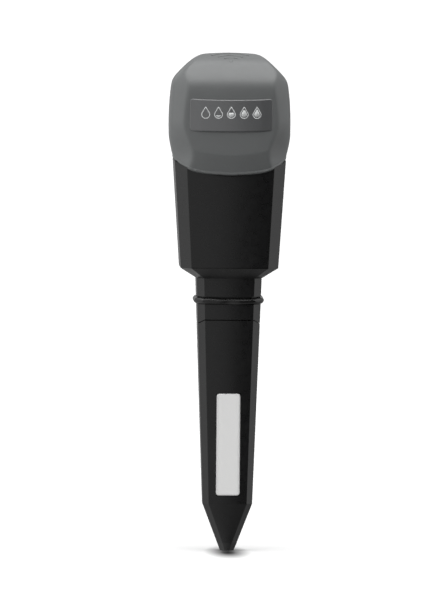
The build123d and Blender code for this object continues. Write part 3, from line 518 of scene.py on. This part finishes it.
def measuring_plate_surface():
    """Milky plastic that glows a little inside, with painted shade darkening it towards the edges of
    its field.
    """
    surface = Surface("window_plastic", (0.695, 0.695, 0.69), 0.38)
    middle = sum(box_mm("measuring_plate")) / 2 * MM
    offset = surface.combine("ShaderNodeVectorMath", "SUBTRACT", surface.place, middle)
    reach = surface.axes(surface.combine("ShaderNodeVectorMath", "ABSOLUTE", offset))
    # painted shade: the base colour darkens towards the field's sides and ends
    near_side = surface.span(reach["X"], 4.4 * MM, 6.1 * MM)
    near_end = surface.span(reach["Z"], 24.6 * MM, 25.8 * MM)
    edge = surface.combine("ShaderNodeMath", "MAXIMUM", near_side, near_end)
    painted_edge_shades = [(place, tuple(c * share for c in surface.colour))
              for place, share in ((0.0, 1.0), (0.4, 0.92), (0.8, 0.75), (1.0, 0.5))]
    surface.feed("Base Color", surface.ramp(edge, painted_edge_shades))
    surface.vary_roughness(surface.noise(2.0, 4.0), 0.05)
    surface.emboss(surface.noise(0.4, 3.0), 0.003)
    surface.set(Subsurface_Weight=0.2, Subsurface_Scale=0.0025, Subsurface_Radius=(1, 1, 1))
    return surface


def board_surface():
    """Green solder mask with the pads and tracks of a board showing faintly through it."""
    surface = Surface("circuit_board", (0.012, 0.09, 0.035), 0.3)
    surface.vary_colour(surface.noise(3.0, 2.0, stretch=(1, 1, 0.2)), 0.35)
    surface.vary_roughness(surface.noise(1.5, 3.0), 0.06)
    surface.emboss(surface.noise(0.8, 2.0), 0.01)
    surface.set(Coat_Weight=0.5)
    return surface


def clear(name, colour, roughness):
    """Clear plastic with a slightly uneven polish."""
    surface = Surface(name, colour, roughness)
    surface.set(Transmission_Weight=0.85, IOR=1.5)
    surface.vary_roughness(surface.noise(2.0, 3.0), 0.03)
    surface.emboss(surface.noise(1.0, 2.0), 0.004)
    return surface


def cell_surface():
    """An AA cell: bare ends, a dark sleeve and a coloured band, told apart by height."""
    surface = Surface("cell_jacket", (0.02, 0.02, 0.022), 0.38)
    low, high = (corner[2] * MM for corner in box_mm("battery_a"))
    height = surface.span(surface.axes(surface.place)["Z"], low, high)
    sleeve_from, band_from, cap_from = 0.034, 0.7, 0.955
    steel, sleeve, band = (0.6, 0.59, 0.56), (0.015, 0.016, 0.018), (0.6, 0.3, 0.08)
    bare, covered = (1, 1, 1), (0, 0, 0)
    stops = [(0.0, steel), (sleeve_from, sleeve), (band_from, band), (cap_from, steel)]
    surface.feed("Base Color", surface.ramp(height, stops, "CONSTANT"))
    stops = [(0.0, bare), (sleeve_from, covered), (cap_from, bare)]
    surface.feed("Metallic", surface.ramp(height, stops, "CONSTANT"))
    surface.vary_roughness(surface.noise(2.0, 4.0), 0.05)
    surface.emboss(surface.noise(1.0, 2.0), 0.0008)
    return surface


def make_surfaces():
    """Every material by slot name, with the label's and the print's own."""
    made = {"label_plastic": label_surface(), "window_plastic": measuring_plate_surface(),
            "circuit_board": board_surface(), "cell_jacket": cell_surface()}
    for make, table in ((plastic, PLASTICS), (metal, METALS), (clear, CLEARS)):
        made.update({name: make(name, *values) for name, values in table.items()})
    return {slot: surface.material for slot, surface in made.items()}


surfaces = make_surfaces()
for subpart in frame["record"]["subparts"]:
    node = nodes[subpart["node"]]
    node.data.materials.clear()
    node.data.materials.append(surfaces[subpart["material_slot"]])


# ---- Pieces ------------------------------------------------------------------------------------

def add_cap():
    """The cap: a fine shell, with the screw boss under its roof."""
    shell = cap_mesh()
    boss_low = box_mm("bridge_contact")[1][2]
    boss_y = sum(corner[1] for corner in box_mm("bridge_screw")) / 2
    hole_top, boss_top = boss_low + 8.0, boss_low + 16.0
    profile = [(1.05, hole_top), (1.05, boss_low), (3.0, boss_low), (3.2, boss_low + 0.2),
               (3.2, boss_top)]
    rows = ring_rows((0, boss_y), profile, 48)
    boss = closed_body(rows, (0, boss_y, hole_top), (0, boss_y, boss_top))
    points, faces = join_bodies([shell, boss])
    piece = make_piece("cap_shell", points, faces, "cap_group",
                       surfaces["cap_plastic"])
    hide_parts("cap")


def cap_front(x, z, height=0.0):
    """Points on the cap's front face, raised from it by height."""
    x, z, height = np.broadcast_arrays(np.asarray(x, float), z, height)
    start = np.stack([x.ravel(), np.zeros(x.size), z.ravel()], axis=1)
    points = cast(cap_distance, start, np.tile([0, -1.0, 0], (x.size, 1)), 40.0)
    points[:, 1] -= height.ravel()
    return points


def cap_roof(x, y, height=0.0):
    """Points on the cap's top, raised from it by height."""
    x, y, height = np.broadcast_arrays(np.asarray(x, float), y, height)
    start = np.stack([x.ravel(), y.ravel(), np.full(x.size, 100.0)], axis=1)
    points = cast(cap_distance, start, np.tile([0, 0, 1.0], (x.size, 1)), 40.0)
    points[:, 2] += height.ravel()
    return points


label_low, label_high = box_mm("label_plate")
LABEL_WIDTH = label_high[0]
LABEL_HEIGHT = (label_high[2] - label_low[2]) / 2
LABEL_Z = (label_high[2] + label_low[2]) / 2
LABEL_RISE = 0.7
LABEL_BOW = 0.5                          # its upper and lower edges sag by this in the middle
LABEL_CORNER = 1.5
LABEL_EDGE = 0.45                        # rounding of its front edge
LABEL_END = 6.0                          # over this length at either end it sinks into the cap
LABEL_SINK = 0.75                        # by this share of its rise


def label_bow(x):
    return LABEL_BOW * (1 - (x / LABEL_WIDTH) ** 2)


def label_height(x, z):
    """Rise of the label plate: flat, with rounded edges, sinking into the cap at its ends."""
    across = np.abs(x) - (LABEL_WIDTH - LABEL_CORNER)
    up = np.abs(z - LABEL_Z + label_bow(x)) - (LABEL_HEIGHT - LABEL_CORNER)
    outside = np.hypot(np.maximum(across, 0), np.maximum(up, 0))
    outside = outside + np.minimum(np.maximum(across, up), 0)
    depth = np.clip((LABEL_CORNER - outside) / LABEL_EDGE, 0, 1)
    ends = 1 - LABEL_SINK * eased_share(np.abs(x), LABEL_WIDTH - LABEL_END, LABEL_WIDTH)
    return LABEL_RISE * ends * np.sqrt(1 - (1 - depth) ** 2)


def eased(count):
    """Shares from 0 to 1, closest together at both ends."""
    return (1 - np.cos(np.linspace(0, math.pi, count))) / 2


def add_label_plate():
    """The raised plate on the cap's front: a slab whose upper and lower edges bow downwards."""
    columns, rows, sunk = 90, 34, -0.4
    x = (eased(columns) * 2 - 1) * LABEL_WIDTH
    x = 0.6 * x + 0.4 * np.linspace(-1, 1, columns) * LABEL_WIDTH
    corner = np.clip(np.abs(x) - (LABEL_WIDTH - LABEL_CORNER), 0, LABEL_CORNER)
    reach = LABEL_HEIGHT - LABEL_CORNER + np.sqrt(LABEL_CORNER ** 2 - corner ** 2)
    across = np.tile(x, (rows, 1))
    up = LABEL_Z - label_bow(x) + np.outer(eased(rows) * 2 - 1, reach)
    face = cap_front(across, up, label_height(across, up))
    back = cap_front(across, up, sunk)
    index = np.arange(rows * columns).reshape(rows, columns)
    rim = np.concatenate([index[0], index[1:, -1], index[-1, -2::-1], index[-2:0:-1, 0]])
    after, hidden = np.roll(rim, -1), rows * columns
    corners = [index[:-1, :-1], index[:-1, 1:], index[1:, 1:], index[1:, :-1]]
    faces = [tuple(quad) for quad in np.stack(corners, axis=-1).reshape(-1, 4).tolist()]
    faces += [(d + hidden, c + hidden, b + hidden, a + hidden) for a, b, c, d in faces]
    faces += [(b, a, a + hidden, b + hidden) for a, b in zip(rim.tolist(), after.tolist())]
    piece = make_piece("label", np.vstack([face, back]), faces, "cap_group",
                       surfaces["label_plastic"])
    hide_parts("label_plate")


def drop_outline(centre_x, centre_z, radius, steps=48):
    """A water drop: round below, drawn up to a point above."""
    turns = np.linspace(0, 2 * math.pi, steps, endpoint=False)
    x = radius * np.cos(turns)
    point = np.clip(np.sin(turns), 0, 1)
    z = radius * np.sin(turns) + radius * 0.75 * point ** 3
    return centre_x + x * (1 - 0.45 * point ** 2), centre_z + z


def on_label(x, z, height):
    return cap_front(x, z, label_height(x, z) + height)


def add_moisture_scale():
    """Five printed drops on the label, filled further from left to right."""
    count, spacing, radius, line, gap, ink, sunk = 5, 6.4, 2.2, 0.42, 0.35, 0.06, -0.1
    middle_z = LABEL_Z + 0.2
    bodies = []
    for drop in range(count):
        x = (drop - (count - 1) / 2) * spacing
        outer = drop_outline(x, middle_z, radius)
        inner = drop_outline(x, middle_z, radius - line)
        rows = [on_label(*outer, sunk), on_label(*outer, ink), on_label(*inner, ink),
                on_label(*inner, sunk)]
        bodies.append(looped_body(rows))
        fill = drop / (count - 1)
        if fill:
            level = middle_z - radius + line + fill * (2.75 * radius - 2 * line)
            filled_x, filled_z = drop_outline(x, middle_z, radius - line - gap)
            z = np.minimum(filled_z, level)
            heart = (x, (z.min() + z.max()) / 2)
            rims = [on_label(filled_x, z, height) for height in (sunk, ink)]
            bodies.append(closed_body(rims, *(on_label(*heart, height)[0] for height in (sunk, ink))))
    points, faces = join_bodies(bodies)
    make_piece("moisture_scale", points, faces, "cap_group", surfaces["print_paint"])


def add_wave_mark():
    """The generic sign for wireless: three raised arcs and a dot on top, opening to the rear."""
    dot_y, half_angle, half_width = front_y + 11.2, math.radians(51), 0.45
    rise, sunk = 0.34, 0.2
    section = np.linspace(0, 2 * math.pi, 12, endpoint=False)
    height = np.sin(section) * np.where(np.sin(section) > 0, rise, sunk)
    bodies = []
    for radius in (4.0, 7.8, 11.8):
        rows = []
        for angle in np.linspace(-half_angle, half_angle, 40):
            reach = radius + half_width * np.cos(section)
            rows.append(cap_roof(reach * math.sin(angle), dot_y + reach * math.cos(angle), height))
        bodies.append(closed_body(rows, rows[0].mean(0), rows[-1].mean(0)))
    around = np.linspace(0, 2 * math.pi, 24, endpoint=False)
    rows = [cap_roof(radius * np.sin(around), dot_y + radius * np.cos(around), height)
            for radius, height in ((1.0, -sunk), (1.0, 0.0), (0.85, 0.15), (0.5, 0.23))]
    bodies.append(closed_body(rows, cap_roof(0, dot_y, -sunk)[0], cap_roof(0, dot_y, 0.24)[0]))
    points, faces = join_bodies(bodies)
    make_piece("wave_mark", points, faces, "cap_group", surfaces["cap_plastic"])


def add_ring():
    """The rubber ring round the neck: a little uneven, and it sags at the front."""
    low, high = box_mm("depth_ring")
    section_radius = (high[2] - low[2]) / 2
    half_width, half_depth = high[0] - section_radius, high[1] - section_radius
    corner, clearance, front_sag = 3.6, 0.25, 0.62
    turns = np.linspace(0, 2 * math.pi, 220, endpoint=False)
    directions = ray_directions(turns, np.zeros(len(turns)))

    def outline_distance(points):
        x, y, _ = np.abs(points).T
        cut = (x + y - (half_width + half_depth - corner)) / math.sqrt(2)
        return smooth_max([x - half_width, y - half_depth, cut], 0.35)

    path = cast(outline_distance, np.zeros(3), directions, 30.0)
    path *= (1 + clearance / np.linalg.norm(path, axis=1))[:, None]
    along = np.roll(path, -1, axis=0) - np.roll(path, 1, axis=0)
    outward = np.stack([along[:, 1], -along[:, 0], np.zeros(len(path))], axis=1)
    outward /= np.linalg.norm(outward, axis=1)[:, None]
    middle_z = (low[2] + high[2]) / 2
    facing = np.clip(-np.sin(turns), 0, 1)
    height = middle_z + 0.2 - front_sag * facing ** 2
    height = height + 0.08 * np.sin(3 * turns + 0.8) + 0.05 * np.sin(7 * turns)
    thickness = section_radius * (0.93 + 0.04 * np.sin(5 * turns + 1.0) + 0.03 * np.sin(9 * turns))
    twist = 0.35 * np.sin(2 * turns + 0.6) + 0.25 * np.sin(5 * turns)
    around = np.linspace(0, 2 * math.pi, 40, endpoint=False)
    rows = []
    for angle in around[::-1]:
        swell = 1 + 0.05 * np.cos(3 * (angle + twist))
        reach = thickness * swell
        lift = np.stack([0 * turns, 0 * turns, height + reach * math.sin(angle)], axis=1)
        rows.append(path + outward * (reach * math.cos(angle))[:, None] + lift)
    points, faces = looped_body(rows)
    piece = make_piece("rubber_ring", points, faces, "root", surfaces["ring_rubber"])
    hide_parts("depth_ring")


def add_weld():
    """The weld between the stake's two shells: a thin upright sheet inside their walls."""
    low, high = box_mm("stake_front_shell")
    outer_inset, inner_inset, half_thickness, top_z = 0.45, 1.7, 0.049, -11.2
    tip_x, side = 3.4, [(4.93, -120.5), (12.42, -100.75), (high[0] - 0.15, top_z)]

    def outline(inset):
        right = [(tip_x - outer_inset, low[2] + inset)] + [(x - inset, z) for x, z in side]
        return right + [(-x, z) for x, z in right[::-1]]

    rows = [np.array([(x, y, z) for x, z in outline(inset)])
            for y, inset in ((-half_thickness, outer_inset), (half_thickness, outer_inset),
                             (half_thickness, inner_inset), (-half_thickness, inner_inset))]
    columns, faces = len(rows[0]), []
    for row in range(4):
        here, after = row * columns, (row + 1) % 4 * columns
        faces += [(here + c, here + c + 1, after + c + 1, after + c) for c in range(columns - 1)]
    faces.append(tuple(row * columns for row in range(4)))
    faces.append(tuple((3 - row) * columns + columns - 1 for row in range(4)))
    piece = make_piece("weld", np.vstack(rows), faces, "root",
                       surfaces["housing_plastic"])
    piece.data.shade_flat()


add_cap()
add_weld()
add_label_plate()
add_moisture_scale()
add_wave_mark()
add_ring()


# ---- Floor, light and camera -------------------------------------------------------------------

TOP_LIGHT = 3.75                         # radiance from above,
TOP_TILT = math.radians(14)              # leaning forward by this,
SIDE_LIGHT, REAR_LIGHT = 1.0, 0.45       # from the sides and the rear,
FRONT_LIGHT = (0.42, 0.06)               # from the front, on the left and the right,
LOW_LIGHT = (0.75, 0.3)                  # and from below, on the left and the right
FLOOR_WHITE = (0.66, 0.66, 0.66)


def stage_sheet(name, corners):
    """A flat sheet with four corners, in metres: its object and its mesh."""
    mesh = bpy.data.meshes.new(name)
    mesh.from_pydata(corners, [], [(0, 1, 2, 3)])
    sheet = bpy.data.objects.new(name, mesh)
    bpy.context.scene.collection.objects.link(sheet)
    return sheet, mesh


def add_floor():
    """A plain white floor under the tip, with a soft shadow of the tip painted into its colour."""
    size = 12.0
    floor, mesh = stage_sheet("floor", [(x * size, y * size, cad_bounds[0].z)
                                        for x, y in ((-1, -1), (1, -1), (1, 1), (-1, 1))])
    white = Surface("floor_white_painted_shadow", FLOOR_WHITE, 0.9, specular=0.0)
    # painted shadow: the floor's colour darkens in a soft ellipse under the tip, stretched front to
    # back
    spread = white.node("ShaderNodeMapping")
    wide, deep, high = 165, 44, 100
    spread.inputs["Location"].default_value = (0, 0.6, -cad_bounds[0].z * high)
    spread.inputs["Scale"].default_value = (wide, deep, high)
    white.tree.links.new(white.place, spread.inputs["Vector"])
    reach = white.combine("ShaderNodeVectorMath", "LENGTH", spread.outputs["Vector"])
    half = white.combine("ShaderNodeMath", "MULTIPLY", reach, 0.5)
    painted_shadow_shades = [(0.05, (0.012,) * 3), (0.35, (0.07,) * 3), (1.0, FLOOR_WHITE)]
    white.feed("Base Color", white.ramp(half, painted_shadow_shades, "B_SPLINE"))
    mesh.materials.append(white.material)
    floor.visible_glossy = False
    floor.visible_diffuse = False


def add_world():
    """A white studio: bright above, white at the sides, dimmer at the rear, in front and below."""
    world = bpy.data.worlds.new("studio")
    bpy.context.scene.world = world
    world.use_nodes = True
    tree = world.node_tree
    direction = tree.nodes.new("ShaderNodeTexCoord").outputs["Generated"]
    split = tree.nodes.new("ShaderNodeSeparateXYZ")
    tree.links.new(direction, split.inputs["Vector"])
    upward = tree.nodes.new("ShaderNodeVectorMath")
    upward.operation = "DOT_PRODUCT"
    upward.inputs[1].default_value = (0, -math.sin(TOP_TILT), math.cos(TOP_TILT))
    tree.links.new(direction, upward.inputs[0])
    sockets = {"X": split.outputs["X"], "Y": split.outputs["Y"], "Z": split.outputs["Z"],
               "up": upward.outputs["Value"]}

    def span(axis, start, end):
        made = tree.nodes.new("ShaderNodeMapRange")
        made.interpolation_type = "SMOOTHSTEP"
        made.inputs["From Min"].default_value = start
        made.inputs["From Max"].default_value = end
        tree.links.new(sockets[axis], made.inputs["Value"])
        return made.outputs["Result"]

    def mix(share, first, second):
        made = tree.nodes.new("ShaderNodeMix")
        tree.links.new(share, made.inputs["Factor"])
        for socket, value in (("A", first), ("B", second)):
            if isinstance(value, float):
                made.inputs[socket].default_value = value
            else:
                tree.links.new(value, made.inputs[socket])
        return made.outputs["Result"]

    front, low = (mix(span("X", -0.2, 0.2), *pair) for pair in (FRONT_LIGHT, LOW_LIGHT))
    around = mix(span("Y", -0.85, -0.35), front, mix(span("Y", 0.3, 0.7), SIDE_LIGHT, REAR_LIGHT))
    lit = mix(span("Z", -0.6, -0.3), low, mix(span("up", 0.5, 0.97), around, TOP_LIGHT))
    camera_ray = tree.nodes.new("ShaderNodeLightPath").outputs["Is Camera Ray"]
    tree.links.new(mix(camera_ray, lit, 1.2), tree.nodes["Background"].inputs["Strength"])
    tree.nodes["Background"].inputs["Color"].default_value = (1, 1, 1, 1)


def add_card():
    """A card close in front, seen only in reflections: grey on the left and black on the right."""
    left, right, low, high, y = -0.14, 0.14, -0.12, 0.2, -0.105
    card, mesh = stage_sheet("card", [(left, y, high), (right, y, high), (right, y, low),
                                      (left, y, low)])
    glow = Surface("card_glow", (0, 0, 0), 1.0, specular=0.0)
    glow.set(Emission_Color=(1, 1, 1, 1))
    glow.feed("Emission Strength", glow.span(glow.axes(glow.place)["X"], -2 * MM, 18 * MM, 0.5, 0.03,
                                             interpolation_type="SMOOTHSTEP"))
    mesh.materials.append(glow.material)
    card.visible_camera = False
    card.visible_diffuse = False
    card.visible_shadow = False
    card.visible_transmission = False


def direction_to(azimuth, elevation):
    """The unit vector from the object to a viewpoint, azimuth counted from the front to the right."""
    level = math.cos(elevation)
    return Vector((math.sin(azimuth) * level, -math.cos(azimuth) * level, math.sin(elevation)))


def add_side_fill():
    """A weak soft box on the left that brightens the grey cap and isn't seen in reflections."""
    turn, climb, distance = math.radians(-80), math.radians(5), 0.8
    away = direction_to(turn, climb)
    data = bpy.data.lights.new("side_fill", "AREA")
    data.shape = "SQUARE"
    data.size = 0.6
    data.energy = 3.2
    light = bpy.data.objects.new("side_fill", data)
    bpy.context.scene.collection.objects.link(light)
    light.location = away * distance
    light.rotation_mode = "QUATERNION"
    light.rotation_quaternion = away.to_track_quat("Z", "Y")
    light.visible_glossy = False
    light.visible_camera = False


def add_camera():
    """A long lens a little above the object's middle, whose frame is 300 mm high at the object."""
    azimuth, elevation, roll = math.radians(-2.3), math.radians(3.55), math.radians(0.37)
    frame_height = 0.300
    data = bpy.data.cameras.new("camera")
    data.lens = 1000
    data.sensor_width = 36
    camera = bpy.data.objects.new("camera", data)
    bpy.context.scene.collection.objects.link(camera)
    distance = frame_height * data.lens / data.sensor_width
    back = direction_to(azimuth, elevation)
    turn = back.to_track_quat("Z", "Y").to_matrix() @ Matrix.Rotation(roll, 3, "Z")
    target = turn @ Vector((-0.0039, 0.0, 0.0)) + Vector((0, 0, 0.0010))
    camera.matrix_world = Matrix.Translation(target + back * distance) @ turn.to_4x4()
    bpy.context.scene.camera = camera


add_floor()
add_world()
add_card()
add_side_fill()
add_camera()
bpy.context.scene.view_settings.view_transform = "Standard"
